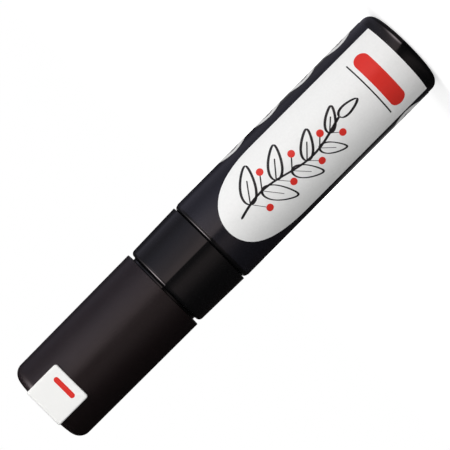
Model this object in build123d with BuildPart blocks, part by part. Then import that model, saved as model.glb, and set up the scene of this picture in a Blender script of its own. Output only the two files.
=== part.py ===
from build123d import *
from math import cos, hypot, pi, sin, sqrt
import os

# A broad chisel-tip liquid marker, capped and standing on its tail.
# The origin is the centre of the tail face, +Z runs along the axis to the cap,
# and the flat face of the cap badge looks along -Y.

# Fits and cuts
press_clearance = 0.03
slide_clearance = 0.05
overrun = 2.0

# Barrel: a tube closed at the tail
barrel_length = 65.5
barrel_wall = 1.74
barrel_step = 0.1
tail_wall = 1.8
tail_edge_radius = 2.4
tank_corner_radius = 1.6
mouth_edge_radius = 1.2

# Printed shrink film round the barrel
film_clearance = 0.02
film_thickness = 0.08
film_tail_margin = 3.6

# Front collar: spigot in the barrel, visible collar, neck under the cap, nose round the nib
collar_length = 14.75
collar_proud = 0.06
collar_draft = 0.36
collar_edge_radius = 1.1
spigot_length = 8.8
spigot_bead_height = 0.15
spigot_bead_width = 1.8
neck_length = 8.25
neck_edge_radius = 0.3
neck_bead_height = 0.1
neck_bead_width = 1.6
neck_bead_setback = 3.2
nose_radius = 7.42
nose_length = 6.5
nose_cone_length = 6.0
nose_tip_wall = 1.1

# Cap, its liner and the air inside it
cap_gap = 0.65
cap_draft = 0.25
cap_wall = 1.49
cap_seat_width = 1.15
cap_end_wall = 3.0
cap_end_edge_radius = 3.0
cap_inner_corner_radius = 0.8
cap_rim_edge_radius = 0.2
rib_count = 8
rib_height = 0.35
rib_width = 1.2
liner_wall = 1.05
liner_setback = 0.5
liner_end_gap = 0.25
liner_corner_radius = 0.9
nib_headroom = 6.2

# Badge: a saddle over the closed end of the cap, with a flat face on each leg
badge_width = 10.7
badge_length = 9.6
badge_bar = 1.3
badge_recess = 0.9
badge_proud = 0.36
badge_corner_radius = 0.7
badge_edge_radius = 0.35

# Nib: a fibre block with a slanted writing face
nib_width = 8.0
nib_thickness = 5.4
nib_length = 29.5
nib_reach = 8.5
nib_slant = 4.4
nib_nose_slant = 1.9
nib_corner_radius = 0.7
nib_edge_radius = 0.4
nib_clearance = 0.1
nib_ridge_share = 0.3

# Valve: stem, washer, cage, spring and the disc that closes the cage
nib_travel = 2.0
travel_clearance = 0.1
web_thickness = 2.7
seat_thickness = 1.6
seat_ink_gap = 0.8
stem_radius = 1.6
head_thickness = 1.4
head_overlap = 1.87
head_ink_gap = 1.5
stem_body_length = 6.2
guide_radius = 1.5
guide_clearance = 0.1
housing_wall = 1.6
housing_overhang = 8.0
window_count = 4
window_width = 5.0
window_margin = 0.8
retainer_plug = 1.8
retainer_flange = 1.0
retainer_lip = 0.9
retainer_hole_count = 6
retainer_hole_share = 0.3
spring_wire_radius = 0.35
spring_gap = 1.0
spring_seat_clearance = 0.03
spring_turns = 8
spring_samples_per_turn = 24

# Mixing balls, loose in the ink tank
ball_radius = 3.0
ball_gap = 1.2
ball_floor_clearance = 0.05

# Radii of the nose, the cap round it and the barrel, from the inside out
nose_tip_radius = hypot(nib_width, nib_thickness) / 2 + nib_clearance + nose_tip_wall
liner_bore_radius = nose_radius + slide_clearance
liner_radius = liner_bore_radius + liner_wall
cap_inner_radius = liner_radius + press_clearance + rib_height
cap_bore_radius = cap_inner_radius + cap_seat_width
cap_rim_radius = cap_bore_radius + cap_wall
cap_end_radius = cap_rim_radius - cap_draft
neck_radius = cap_bore_radius - slide_clearance - neck_bead_height
badge_face = cap_end_radius + badge_proud
badge_seat_radius = cap_end_radius - badge_recess
barrel_radius = cap_rim_radius + barrel_step
bore_radius = barrel_radius - barrel_wall
spigot_radius = bore_radius - press_clearance
collar_rear_radius = barrel_radius + collar_proud
collar_front_radius = collar_rear_radius - collar_draft
film_inner_radius = barrel_radius + film_clearance
film_outer_radius = film_inner_radius + film_thickness

# Radii of the valve, from the inside out
seat_bore_radius = stem_radius + seat_ink_gap
head_radius = seat_bore_radius + head_overlap
housing_bore_radius = head_radius + head_ink_gap
housing_radius = housing_bore_radius + housing_wall
collar_bore_radius = housing_radius + press_clearance
spring_radius = guide_radius + spring_gap + spring_wire_radius
stem_body_radius = spring_radius + spring_wire_radius
retainer_plug_radius = housing_bore_radius - press_clearance
retainer_hole_circle = (stem_body_radius + retainer_plug_radius) / 2
retainer_hole_radius = (retainer_plug_radius - stem_body_radius) * retainer_hole_share

# Heights from the tail to the nib
spigot_z = barrel_length - spigot_length
spigot_bead_z = barrel_length - spigot_length / 2
neck_z = barrel_length + collar_length
neck_bead_z = neck_z + neck_bead_setback
nose_z = neck_z + neck_length
cone_z = nose_z + nose_length
nose_front_z = cone_z + nose_cone_length
nib_tip_z = nose_front_z + nib_reach
nib_rear_z = nib_tip_z - nib_length

# Heights of the cap
cap_z = neck_z + cap_gap
liner_z = nose_z + liner_setback
liner_floor_z = nib_tip_z + nib_headroom
liner_top_z = liner_floor_z + liner_wall
cap_floor_z = liner_top_z + liner_end_gap
cap_top_z = cap_floor_z + cap_end_wall
badge_z = cap_top_z - badge_length
badge_bar_z = cap_top_z - badge_bar

# Heights of the valve, from the nib back to the tank
socket_floor_z = nib_rear_z - nib_travel - travel_clearance
seat_front_z = socket_floor_z - web_thickness
seat_z = seat_front_z - seat_thickness
head_rear_z = seat_z - head_thickness
stem_shoulder_z = head_rear_z - stem_body_length
housing_z = spigot_z - housing_overhang
retainer_z = housing_z - retainer_flange
plug_top_z = housing_z + retainer_plug
window_low_z = plug_top_z + window_margin
window_high_z = spigot_z - window_margin
spring_low_z = plug_top_z + spring_wire_radius + spring_seat_clearance
spring_high_z = stem_shoulder_z - spring_wire_radius - spring_seat_clearance
ball_rest_z = tail_wall + ball_floor_clearance + ball_radius
ball_offset = ball_radius + ball_gap / 2


def corner(sketch, across, along):
    """The corner of a flat profile that lies nearest to a point."""
    return sketch.vertices().sort_by_distance((across, along))[0]


def bead(radius, middle, height, width):
    """A rounded ring on a wall of a turned profile, drawn upwards."""
    ThreePointArc(
        (radius, middle - width / 2),
        (radius + height, middle),
        (radius, middle + width / 2),
    )


# Barrel, with a groove in its bore for the bead of the spigot
with BuildPart() as barrel:
    with BuildSketch(Plane.XZ) as barrel_profile:
        with BuildLine():
            bead(bore_radius, spigot_bead_z, spigot_bead_height, spigot_bead_width)
            Polyline(
                (bore_radius, spigot_bead_z + spigot_bead_width / 2),
                (bore_radius, barrel_length),
                (barrel_radius, barrel_length),
                (barrel_radius, 0),
                (0, 0),
                (0, tail_wall),
                (bore_radius, tail_wall),
                (bore_radius, spigot_bead_z - spigot_bead_width / 2),
            )
        make_face()
        fillet(corner(barrel_profile, barrel_radius, 0), tail_edge_radius)
        fillet(corner(barrel_profile, bore_radius, tail_wall), tank_corner_radius)
        fillet(corner(barrel_profile, barrel_radius, barrel_length), mouth_edge_radius)
    revolve(axis=Axis.Z)

# Shrink film, from short of the tail to where the mouth starts to round over
with BuildPart() as label_sleeve:
    with BuildSketch(Plane.XY.offset(film_tail_margin)):
        Circle(film_outer_radius)
        Circle(film_inner_radius, mode=Mode.SUBTRACT)
    extrude(amount=barrel_length - mouth_edge_radius - film_tail_margin)

# Front collar, one moulding from the spigot to the nose
with BuildPart() as front_collar:
    with BuildSketch(Plane.XZ) as collar_profile:
        with BuildLine():
            Polyline(
                (0, spigot_z),
                (spigot_radius, spigot_z),
                (spigot_radius, spigot_bead_z - spigot_bead_width / 2),
            )
            bead(spigot_radius, spigot_bead_z, spigot_bead_height, spigot_bead_width)
            Polyline(
                (spigot_radius, spigot_bead_z + spigot_bead_width / 2),
                (spigot_radius, barrel_length),
                (collar_rear_radius, barrel_length),
                (collar_front_radius, neck_z),
                (neck_radius, neck_z),
                (neck_radius, neck_bead_z - neck_bead_width / 2),
            )
            bead(neck_radius, neck_bead_z, neck_bead_height, neck_bead_width)
            Polyline(
                (neck_radius, neck_bead_z + neck_bead_width / 2),
                (neck_radius, nose_z),
                (nose_radius, nose_z),
                (nose_radius, cone_z),
                (nose_tip_radius, nose_front_z),
                (0, nose_front_z),
                (0, spigot_z),
            )
        make_face()
        fillet(corner(collar_profile, collar_front_radius, neck_z), collar_edge_radius)
        fillet(corner(collar_profile, neck_radius, nose_z), neck_edge_radius)
    revolve(axis=Axis.Z)
    with BuildSketch(Plane.XY.offset(spigot_z)):
        Circle(collar_bore_radius)
    extrude(amount=seat_front_z - spigot_z, mode=Mode.SUBTRACT)
    with BuildSketch(Plane.XY.offset(seat_front_z)):
        Circle(seat_bore_radius)
    extrude(amount=web_thickness + overrun, mode=Mode.SUBTRACT)
    with BuildSketch(Plane.XY.offset(socket_floor_z)):
        RectangleRounded(
            nib_width + 2 * nib_clearance,
            nib_thickness + 2 * nib_clearance,
            nib_corner_radius + nib_clearance,
        )
    extrude(amount=nose_front_z + overrun - socket_floor_z, mode=Mode.SUBTRACT)

# Nib, its writing face slanted across the thickness and blunt at the ridge
with BuildPart() as nib:
    with BuildSketch(Plane.YZ) as nib_profile:
        with BuildLine():
            Polyline(
                (-nib_thickness / 2, nib_rear_z),
                (nib_thickness / 2, nib_rear_z),
                (nib_thickness / 2, nib_tip_z - nib_slant),
                (-nib_thickness * nib_ridge_share, nib_tip_z),
                (-nib_thickness / 2, nib_tip_z - nib_nose_slant),
                close=True,
            )
        make_face()
        fillet(corner(nib_profile, -nib_thickness * nib_ridge_share, nib_tip_z), nib_edge_radius)
    extrude(amount=nib_width / 2, both=True)
    fillet(nib.edges().filter_by(Axis.Z), nib_corner_radius)

# Valve stem: guide rod, spring shoulder, head that closes on the washer, push rod to the nib
with BuildPart() as valve_stem:
    with BuildSketch(Plane.XZ):
        with BuildLine():
            Polyline(
                (0, retainer_z),
                (guide_radius, retainer_z),
                (guide_radius, stem_shoulder_z),
                (stem_body_radius, stem_shoulder_z),
                (stem_body_radius, head_rear_z),
                (head_radius, head_rear_z),
                (head_radius, seat_z),
                (stem_radius, seat_z),
                (stem_radius, nib_rear_z),
                (0, nib_rear_z),
                close=True,
            )
        make_face()
    revolve(axis=Axis.Z)

# Soft washer, held between the collar's web and the cage
with BuildPart() as valve_seat:
    with BuildSketch(Plane.XY.offset(seat_z)):
        Circle(housing_radius)
        Circle(seat_bore_radius, mode=Mode.SUBTRACT)
    extrude(amount=seat_thickness)

# Cage round the valve, with ink windows where it stands clear of the spigot
with BuildPart() as valve_housing:
    with BuildSketch(Plane.XY.offset(housing_z)):
        Circle(housing_radius)
        Circle(housing_bore_radius, mode=Mode.SUBTRACT)
    extrude(amount=seat_z - housing_z)
    with Locations((0, 0, (window_low_z + window_high_z) / 2)):
        with PolarLocations(housing_radius, window_count):
            Box(
                2 * (housing_wall + overrun),
                window_width,
                window_high_z - window_low_z,
                mode=Mode.SUBTRACT,
            )

# Perforated disc that closes the cage, guides the stem and carries the spring
with BuildPart() as spring_retainer:
    with BuildSketch(Plane.XY.offset(retainer_z)):
        Circle(retainer_plug_radius + retainer_lip)
    extrude(amount=retainer_flange)
    with BuildSketch(Plane.XY.offset(housing_z)):
        Circle(retainer_plug_radius)
    extrude(amount=retainer_plug)
    with BuildSketch(Plane.XY.offset(retainer_z)):
        Circle(guide_radius + guide_clearance)
        with PolarLocations(retainer_hole_circle, retainer_hole_count):
            Circle(retainer_hole_radius)
    extrude(amount=retainer_flange + retainer_plug, mode=Mode.SUBTRACT)

# Valve spring: one tube along a helix, each quarter turn a pair of arcs that meet in line
spring_pitch = (spring_high_z - spring_low_z) / spring_turns


def spring_point(turn):
    angle = 2 * pi * turn
    return Vector(
        spring_radius * cos(angle),
        spring_radius * sin(angle),
        spring_low_z + spring_pitch * turn,
    )


def spring_heading(turn):
    angle = 2 * pi * turn
    run = 2 * pi * spring_radius
    return Vector(-run * sin(angle), run * cos(angle), spring_pitch).normalized()


def quarter_turn(start_turn):
    end_turn = start_turn + 1 / 4
    start, end = spring_point(start_turn), spring_point(end_turn)
    leaving, arriving = spring_heading(start_turn), spring_heading(end_turn)
    chord, both = end - start, leaving + arriving
    bend = both.dot(both) - 4
    along = chord.dot(both)
    reach = (along - sqrt(along**2 - bend * chord.dot(chord))) / bend
    before, after = start + leaving * reach, end - arriving * reach
    middle = (before + after) / 2
    TangentArc(start, middle, tangent=leaving)
    TangentArc(middle, end, tangent=after - before)


with BuildPart() as valve_spring:
    with BuildLine() as spring_path:
        for quarter in range(4 * spring_turns):
            quarter_turn(quarter / 4)
    with BuildSketch(Plane(origin=spring_path.line @ 0, z_dir=spring_path.line % 0)):
        Circle(spring_wire_radius)
    sweep()

spring_samples = [
    spring_point(step / spring_samples_per_turn)
    for step in range(spring_turns * spring_samples_per_turn + 1)
]
spring_least_gap = min(
    (there - here).length - 2 * spring_wire_radius
    for step, here in enumerate(spring_samples)
    for there in spring_samples[step + spring_samples_per_turn // 2 :]
)
print(f"valve_spring: least gap to itself {spring_least_gap:.2f} mm")

# Space that the badge takes out of the cap
with BuildPart() as badge_pocket:
    with BuildSketch(Plane.XZ) as pocket_outline:
        with BuildLine():
            Polyline(
                (-badge_width / 2 - slide_clearance, badge_z - slide_clearance),
                (badge_width / 2 + slide_clearance, badge_z - slide_clearance),
                (badge_width / 2 + slide_clearance, cap_top_z + overrun),
                (-badge_width / 2 - slide_clearance, cap_top_z + overrun),
                close=True,
            )
        make_face()
        fillet(pocket_outline.vertices().group_by(Axis.Y)[0], badge_corner_radius + slide_clearance)
    extrude(amount=badge_face + overrun, both=True)
    with BuildSketch(Plane.XY.offset(badge_z - overrun)):
        Circle(badge_seat_radius - slide_clearance)
    extrude(amount=badge_bar_z - slide_clearance - badge_z + overrun, mode=Mode.SUBTRACT)

# Cap: bore over the neck, seat on the neck's front face, ribs that grip the liner
with BuildPart() as cap:
    with BuildSketch(Plane.XZ) as cap_profile:
        with BuildLine():
            Polyline(
                (cap_bore_radius, cap_z),
                (cap_rim_radius, cap_z),
                (cap_end_radius, cap_top_z),
                (0, cap_top_z),
                (0, cap_floor_z),
                (cap_inner_radius, cap_floor_z),
                (cap_inner_radius, nose_z),
                (cap_bore_radius, nose_z),
                close=True,
            )
        make_face()
        fillet(corner(cap_profile, cap_end_radius, cap_top_z), cap_end_edge_radius)
        fillet(corner(cap_profile, cap_inner_radius, cap_floor_z), cap_inner_corner_radius)
        fillet(corner(cap_profile, cap_rim_radius, cap_z), cap_rim_edge_radius)
        fillet(corner(cap_profile, cap_bore_radius, cap_z), cap_rim_edge_radius)
    revolve(axis=Axis.Z)
    with BuildSketch(Plane.XY.offset(liner_z)):
        with PolarLocations(cap_inner_radius, rib_count):
            Rectangle(2 * rib_height, rib_width)
    extrude(amount=cap_floor_z - liner_z)
    add(badge_pocket.part, mode=Mode.SUBTRACT)

# Liner that seals on the nose and keeps the nib moist
with BuildPart() as inner_cap:
    with BuildSketch(Plane.XZ) as liner_profile:
        with BuildLine():
            Polyline(
                (liner_bore_radius, liner_z),
                (liner_radius, liner_z),
                (liner_radius, liner_top_z),
                (0, liner_top_z),
                (0, liner_floor_z),
                (liner_bore_radius, liner_floor_z),
                close=True,
            )
        make_face()
        fillet(corner(liner_profile, liner_radius, liner_top_z), liner_corner_radius)
        fillet(corner(liner_profile, liner_bore_radius, liner_floor_z), liner_corner_radius)
    revolve(axis=Axis.Z)

# Badge: bar across the end of the cap and a leg down each side
with BuildPart() as cap_badge:
    with BuildSketch(Plane.XZ) as badge_outline:
        with BuildLine():
            Polyline(
                (-badge_width / 2, badge_z),
                (badge_width / 2, badge_z),
                (badge_width / 2, cap_top_z),
                (-badge_width / 2, cap_top_z),
                close=True,
            )
        make_face()
        fillet(badge_outline.vertices().group_by(Axis.Y)[0], badge_corner_radius)
    extrude(amount=badge_face, both=True)
    badge_ends = cap_badge.faces().filter_by(Axis.Y)
    fillet(badge_ends.edges(), badge_edge_radius)
    with BuildSketch(Plane.XY.offset(badge_z - overrun)):
        Circle(badge_seat_radius)
    extrude(amount=badge_bar_z - badge_z + overrun, mode=Mode.SUBTRACT)

# Mixing balls, side by side on the floor of the tank
with BuildPart() as mixing_ball_1:
    with Locations((-ball_offset, 0, ball_rest_z)):
        Sphere(ball_radius)
with BuildPart() as mixing_ball_2:
    with Locations((ball_offset, 0, ball_rest_z)):
        Sphere(ball_radius)

pieces = {
    "barrel": barrel,
    "label_sleeve": label_sleeve,
    "front_collar": front_collar,
    "nib": nib,
    "valve_stem": valve_stem,
    "valve_seat": valve_seat,
    "valve_housing": valve_housing,
    "spring_retainer": spring_retainer,
    "valve_spring": valve_spring,
    "cap": cap,
    "inner_cap": inner_cap,
    "cap_badge": cap_badge,
    "mixing_ball_1": mixing_ball_1,
    "mixing_ball_2": mixing_ball_2,
}
os.makedirs("parts", exist_ok=True)
for name, piece in pieces.items():
    piece.part.label = name
    export_step(piece.part, f"parts/{name}.step")
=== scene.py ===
"""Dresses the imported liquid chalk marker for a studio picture.

The marker stands on its tail: the axis is Z, the cap is up, and the printed panel and the cap's
badge face -Y. Every visible shape is a grid of points worked out with numpy round that axis.
"""

import math

import bmesh
import bpy
import numpy as np
from bpy.props import FloatProperty, FloatVectorProperty, IntProperty, PointerProperty
from bpy.types import NodeSocket, Operator, Panel, PropertyGroup
from mathutils import Matrix, Vector


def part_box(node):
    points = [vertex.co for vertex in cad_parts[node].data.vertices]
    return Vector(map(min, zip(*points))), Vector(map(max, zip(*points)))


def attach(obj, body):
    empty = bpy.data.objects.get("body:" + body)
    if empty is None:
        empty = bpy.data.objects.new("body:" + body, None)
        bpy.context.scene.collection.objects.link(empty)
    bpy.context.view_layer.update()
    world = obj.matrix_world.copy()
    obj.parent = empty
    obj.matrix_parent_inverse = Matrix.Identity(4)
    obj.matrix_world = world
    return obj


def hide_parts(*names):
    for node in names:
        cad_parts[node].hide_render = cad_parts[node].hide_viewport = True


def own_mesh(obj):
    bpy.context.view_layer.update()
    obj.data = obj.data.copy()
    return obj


bl_info = {
    "name": "Liquid chalk marker",
    "version": (1, 0, 0),
    "blender": (4, 5, 0),
    "location": "3D View > Sidebar > Marker",
    "description": "Builds the visible pieces and finishes of a capped chalk marker on its CAD frame",
    "category": "Object",
}

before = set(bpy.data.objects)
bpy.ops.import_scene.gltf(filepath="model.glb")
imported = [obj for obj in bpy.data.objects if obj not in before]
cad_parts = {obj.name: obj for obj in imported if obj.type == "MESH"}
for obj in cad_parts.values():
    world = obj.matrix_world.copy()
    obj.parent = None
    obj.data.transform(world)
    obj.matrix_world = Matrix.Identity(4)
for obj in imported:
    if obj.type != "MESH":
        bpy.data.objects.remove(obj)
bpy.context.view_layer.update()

MM = 0.001
BARREL, SLEEVE, COLLAR, NIB, CAP, LINER, BADGE = map(
    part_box, ("barrel", "label_sleeve", "front_collar", "nib", "cap", "inner_cap", "cap_badge")
)
SPRING, RETAINER = map(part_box, ("valve_spring", "spring_retainer"))


# Sizes, colours and studio settings that a user would change


def linear(code):
    """An sRGB hex colour as linear red, green, blue and alpha.

    Up to 0.04045 a channel is divided by 12.92. Above, it is (channel + 0.055) / 1.055 to the power 2.4.
    """
    channel = np.array([int(code[start : start + 2], 16) for start in (1, 3, 5)]) / 255
    light = np.where(channel <= 0.04045, channel / 12.92, ((channel + 0.055) / 1.055) ** 2.4)
    return (*light.tolist(), 1.0)


def length(description, millimetres):
    """A property that holds a length, given in millimetres and kept in metres."""
    return FloatProperty(
        description=description, default=millimetres * MM, unit="LENGTH", subtype="DISTANCE", precision=5
    )


def turn(description, degrees):
    """A property that holds an angle, given in degrees and kept in radians."""
    return FloatProperty(
        description=description, default=math.radians(degrees), unit="ROTATION", subtype="ANGLE"
    )


def count(description, number):
    """A property that holds a whole number."""
    return IntProperty(description=description, default=number, min=1)


def tint(description, code):
    """A property that holds a surface colour."""
    return FloatVectorProperty(
        description=description, default=linear(code), size=4, subtype="COLOR", min=0.0, max=1.0
    )


def labelled(group):
    """Gives each property of a group the name that the sidebar shows, in the words of its key."""
    for key, entry in group.__annotations__.items():
        entry.keywords["name"] = key.replace("_", " ").capitalize()
    return group


@labelled
class MarkerSizes(PropertyGroup):
    """Roundings and inner sizes of the moulded pieces. Their outer sizes come from the CAD frame."""

    around: count("How many columns a turned piece has round its axis", 240)
    tail_rounding: length("Radius of the edge round the tail face", 2.4)
    mouth_rounding: length("Radius of the barrel's edge at the collar", 1.2)
    tank_radius: length("Radius of the ink tank inside the barrel", 9.9)
    tank_floor: length("Height of the tank's floor over the tail face", 1.8)
    tank_rounding: length("Radius of the corner round the tank's floor", 1.6)
    seam_width: length("Width of the film sleeve's welded lap at the back", 4.0)
    collar_front: length("Height of the collar's front edge", 80.25)
    collar_front_radius: length("Radius of the collar at its front edge", 11.34)
    collar_rounding: length("Rounding of the collar's front edge", 1.1)
    spigot_radius: length("Radius of the part that plugs the barrel", 9.87)
    neck_radius: length("Radius of the neck that the cap grips", 9.9)
    neck_bead: length("Height of the ring on the neck that the cap snaps over", 0.1)
    neck_bead_middle: length("Height of the middle of that ring", 83.45)
    neck_front: length("Height where the neck steps in to the nose", 88.5)
    nose_radius: length("Radius of the straight part of the nose", 7.42)
    nose_shoulder: length("Height where the nose starts to taper", 95.0)
    nose_tip_radius: length("Radius of the nose at the nib", 6.03)
    socket_width: length("Width of the nib's socket along X", 8.2)
    socket_depth: length("Depth of the nib's socket along Y", 5.6)
    socket_corner: length("Corner radius of the nib's socket", 0.8)
    socket_floor: length("Height of the bottom of the nib's socket", 77.9)
    passage_radius: length("Radius of the ink passage to the valve", 2.4)
    valve_bore_radius: length("Radius of the bore that holds the valve", 7.4)
    valve_bore_end: length("Height of the end of that bore", 75.2)
    nib_corner: length("Corner radius of the nib's section", 0.7)
    nib_ridge: length("Place of the writing edge along Y", -1.62)
    nib_front_drop: length("How far the nib's face falls to its front side", 1.9)
    nib_back_drop: length("How far the nib's face falls to its back side", 4.4)
    nib_travel: length("How far the nib presses in", 2.0)
    spring_wire: length("Radius of the valve spring's wire", 0.35)
    spring_turns: count("Turns of the valve spring", 8)
    cap_end_radius: length("Radius of the cap just under its end rounding", 11.29)
    cap_rounding: length("Radius of the edge round the cap's end", 3.0)
    cap_bore: length("Radius of the bore that slides over the neck", 10.05)
    cap_room: length("Radius inside the cap beyond the neck", 8.9)
    cap_floor: length("Height of the inside of the cap's end wall", 117.0)
    cap_ribs: count("How many ribs in the cap hold the liner", 8)
    cap_rib: length("How far those ribs stand out", 0.35)
    cap_rib_width: length("Width of one rib", 1.2)
    cap_step: length("How far the badge stands proud of the cap's end", 0.03)
    liner_bore: length("Radius inside the liner", 7.47)
    liner_floor: length("Height of the inside of the liner's end", 115.7)
    liner_rounding: length("Radius of the liner's corners", 0.9)
    badge_corner: length("Radius of the badge's inner corners", 0.7)
    badge_edge: length("Radius of the badge's edges", 0.35)
    badge_fold: length("Radius where the badge turns over the cap's end", 0.7)
    badge_leg: length("Thickness of the badge's legs", 2.0)
    badge_bar: length("Thickness of the badge's bar across the end", 1.3)


@labelled
class MarkerPrint(PropertyGroup):
    """Sizes of the printed shapes on the film sleeve and the badge, measured along their surface."""

    ink_lift: length("Thickness of one layer of print", 0.015)
    film_turn: turn("How far the film's front is turned towards +X", -1.0)
    panel_turn: turn("How far the panel's middle is turned towards +X", -8.0)
    panel_half: turn("Half of the angle that the panel takes", 57.5)
    panel_back: length("Height of the panel's straight end", 3.76)
    panel_front: length("Height of the panel's round end", 60.6)
    panel_round: length("Length of the panel's round end", 17.0)
    sprig_start: length("Height where the drawn sprig's stem starts", 56.5)
    sprig_length: length("Length of the stem along the barrel", 33.0)
    sprig_swing: length("How far the stem swings to each side", 1.3)
    sprig_knots: count("How many knots of the stem bear a leaf and a berry", 7)
    leaf_length: length("Length of the longest leaf", 9.4)
    leaf_width: length("Half width of the longest leaf", 1.75)
    berry_radius: length("Radius of a red berry on its stalk", 0.9)
    pen: length("Half width of the broad pen's stroke", 0.31)
    fine_pen: length("Half width of the fine pen's stroke", 0.16)
    band_height: length("Height of the middle of the red band", 10.6)
    band_width: length("Width of the red band along the barrel", 4.2)
    band_length: length("Length of the red band round the barrel", 16.4)
    rule_height: length("Height of the thin black rule beside the band", 13.96)
    rule_width: length("Width of that rule along the barrel", 0.35)
    pill_pitch: length("Distance from one side pill to the next", 11.7)
    pill_length: length("Length of a side pill round the barrel", 13.0)
    pill_width: length("Width of a side pill along the barrel", 9.2)
    pill_first: length("Height of the middle of the pill next to the tail", 11.0)
    pill_turn: turn("How far the pills' middle is turned from the film's front", 100.0)
    badge_bar_height: length("Height of the red bar on the badge", 112.9)
    badge_bar_length: length("Length of the red bar on the badge", 6.4)
    badge_bar_width: length("Width of the red bar on the badge", 1.3)


@labelled
class MarkerColours(PropertyGroup):
    """Colours of the materials, as seen in even white light. The cap's red cast is painted warm light."""

    gloss_black: tint("Barrel and collar", "#0d0d0e")
    film_black: tint("Film sleeve", "#17171d")
    # The cap's red cast is painted warm light: it is the warm tone of its satin sheen, put into its colour
    satin_black: tint("Cap", "#150d0e")
    print_white: tint("Panel and side pills", "#eeeeed")
    print_red: tint("Red band, berries and the badge's bar", "#d8261b")
    print_black: tint("Drawn lines", "#141316")
    badge_white: tint("Badge on the cap", "#f0f0ee")
    fibre_white: tint("Nib", "#ebe8df")
    liner_natural: tint("Liner in the cap", "#e4e4de")
    valve_natural: tint("Valve pieces", "#e6e3d8")
    seal_dark: tint("Valve seat", "#2b2b2d")
    steel_bright: tint("Spring and balls", "#c6c8cb")
    floor_pale: tint("Paper floor", "#d8d8d8")


@labelled
class MarkerStudio(PropertyGroup):
    """Camera and light."""

    camera_distance: length("From the lens to the marker's axis", 580)
    camera_turn: turn("How far the lens stands round the marker, towards +X", -1.0)
    camera_height: length("Height of the lens over the tail face", 72.8)
    aim_height: length("Height that the middle of the picture looks at", 59.79)
    aim_side: length("How far beside the axis the middle of the picture lies", 0.37)
    view_width: length("What the picture takes in at the axis", 106.3)
    roll: turn("How far the picture is turned, so that the marker lies across it", 135.16)
    lamp_power: FloatProperty(description="Watts of each soft lamp", default=2.4)
    ambient: FloatProperty(description="Light from the white room on matt surfaces", default=0.4)


# Shapes


def rounded(corners, steps=9):
    """A line of straight runs with rounded corners, given as (across, along, radius).

    Each rounding is the arc of that radius that touches both runs: it starts at radius / tan(half the
    corner's angle) before the corner, and its centre lies on the corner's bisector.
    """
    corner = np.array(corners, float)
    spot, radius = corner[:, :2], corner[:, 2]
    line = []
    for here in range(len(spot)):
        if radius[here] == 0.0:
            line.append(spot[here : here + 1])
            continue
        arms = unit(np.stack([spot[here - 1], spot[(here + 1) % len(spot)]]) - spot[here])
        half = math.acos(float(np.clip(arms[0] @ arms[1], -1, 1))) / 2
        bisector = arms.sum(0) / np.linalg.norm(arms.sum(0))
        centre = spot[here] + bisector * radius[here] / math.sin(half)
        start = spot[here] + arms[0] * radius[here] / math.tan(half) - centre
        side = math.copysign(1.0, arms[0][1] * arms[1][0] - arms[0][0] * arms[1][1])
        swing = side * np.linspace(0.0, math.pi - 2 * half, steps)
        cosine, sine = np.cos(swing), np.sin(swing)
        arc = np.stack([start[0] * cosine - start[1] * sine, start[0] * sine + start[1] * cosine], -1)
        line.append(centre + arc)
    return np.concatenate(line)


def unit(vectors):
    """Rows of vectors, each brought to length 1."""
    return vectors / np.linalg.norm(vectors, axis=1, keepdims=True)


def angles(around):
    """Evenly spaced angles round the axis, without the repeated last one."""
    return np.linspace(0.0, 2 * math.pi, around, endpoint=False)


def turned(radius, height, around):
    """Points of rings stacked along the axis: (radius cos angle, radius sin angle, height).

    The radius is one number for a round ring, or one per angle for any other section.
    """
    angle = angles(around)
    radius = np.broadcast_to(np.reshape(radius, (len(height), -1)), (len(height), around))
    return np.stack([radius * np.cos(angle), radius * np.sin(angle), radius * 0 + height[:, None]], -1)


def box_radius(half_x, half_y, corner, angle):
    """Distance from the axis to a rounded rectangle, in the direction of each angle.

    It is half_x / cos or half_y / sin on the flats. In a corner it is the ray's far hit on the corner's
    circle: b + sqrt(b squared - centre squared + corner squared), b being the centre's part along the ray.
    """
    cosine, sine = np.abs(np.cos(angle)), np.abs(np.sin(angle))
    flat = np.minimum(half_x / np.maximum(cosine, 1e-9), half_y / np.maximum(sine, 1e-9))
    middle_x, middle_y = half_x - corner, half_y - corner
    along = middle_x * cosine + middle_y * sine
    rest = np.maximum(along**2 - middle_x**2 - middle_y**2 + corner**2, 0.0)
    in_corner = (flat * cosine > middle_x) & (flat * sine > middle_y)
    return np.where(in_corner, along + np.sqrt(rest), flat)


def falls_back(radius, near):
    """How far a rounded edge falls back, at each distance from its end.

    It is radius - sqrt(radius squared - (radius - distance) squared), and 0 from the radius on.
    """
    short = np.clip(radius - near, 0, radius)
    return radius - np.sqrt(radius**2 - short**2)


def smooth(mesh):
    """Shades a mesh smooth, but keeps edges of more than 42 degrees sharp."""
    mesh.shade_smooth()
    mesh.set_sharp_from_angle(angle=math.radians(42))
    return mesh


def skin(name, points, closed_along=False):
    """A mesh of quads over a grid of points, closed across its columns and facing columns cross rows.

    Points that fall together, as on the axis, are merged, which closes poles and seams.
    """
    rows, columns = points.shape[:2]
    here = np.arange(rows if closed_along else rows - 1)[:, None] * columns
    beyond = (here + columns) % (rows * columns)
    column = np.arange(columns)[None]
    beside = (column + 1) % columns
    quads = np.stack([here + column, here + beside, beyond + beside, beyond + column], -1)
    mesh = bpy.data.meshes.new(name)
    mesh.from_pydata(points.reshape(-1, 3).tolist(), [], quads.reshape(-1, 4).tolist())
    merged = bmesh.new()
    merged.from_mesh(mesh)
    bmesh.ops.remove_doubles(merged, verts=merged.verts, dist=2e-7)
    merged.to_mesh(mesh)
    merged.free()
    return smooth(mesh)


def lathe(name, profile, around, closed_along=False):
    """A profile of (radius, height) points turned round the axis."""
    return skin(name, turned(profile[:, 0], profile[:, 1], around), closed_along)


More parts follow.
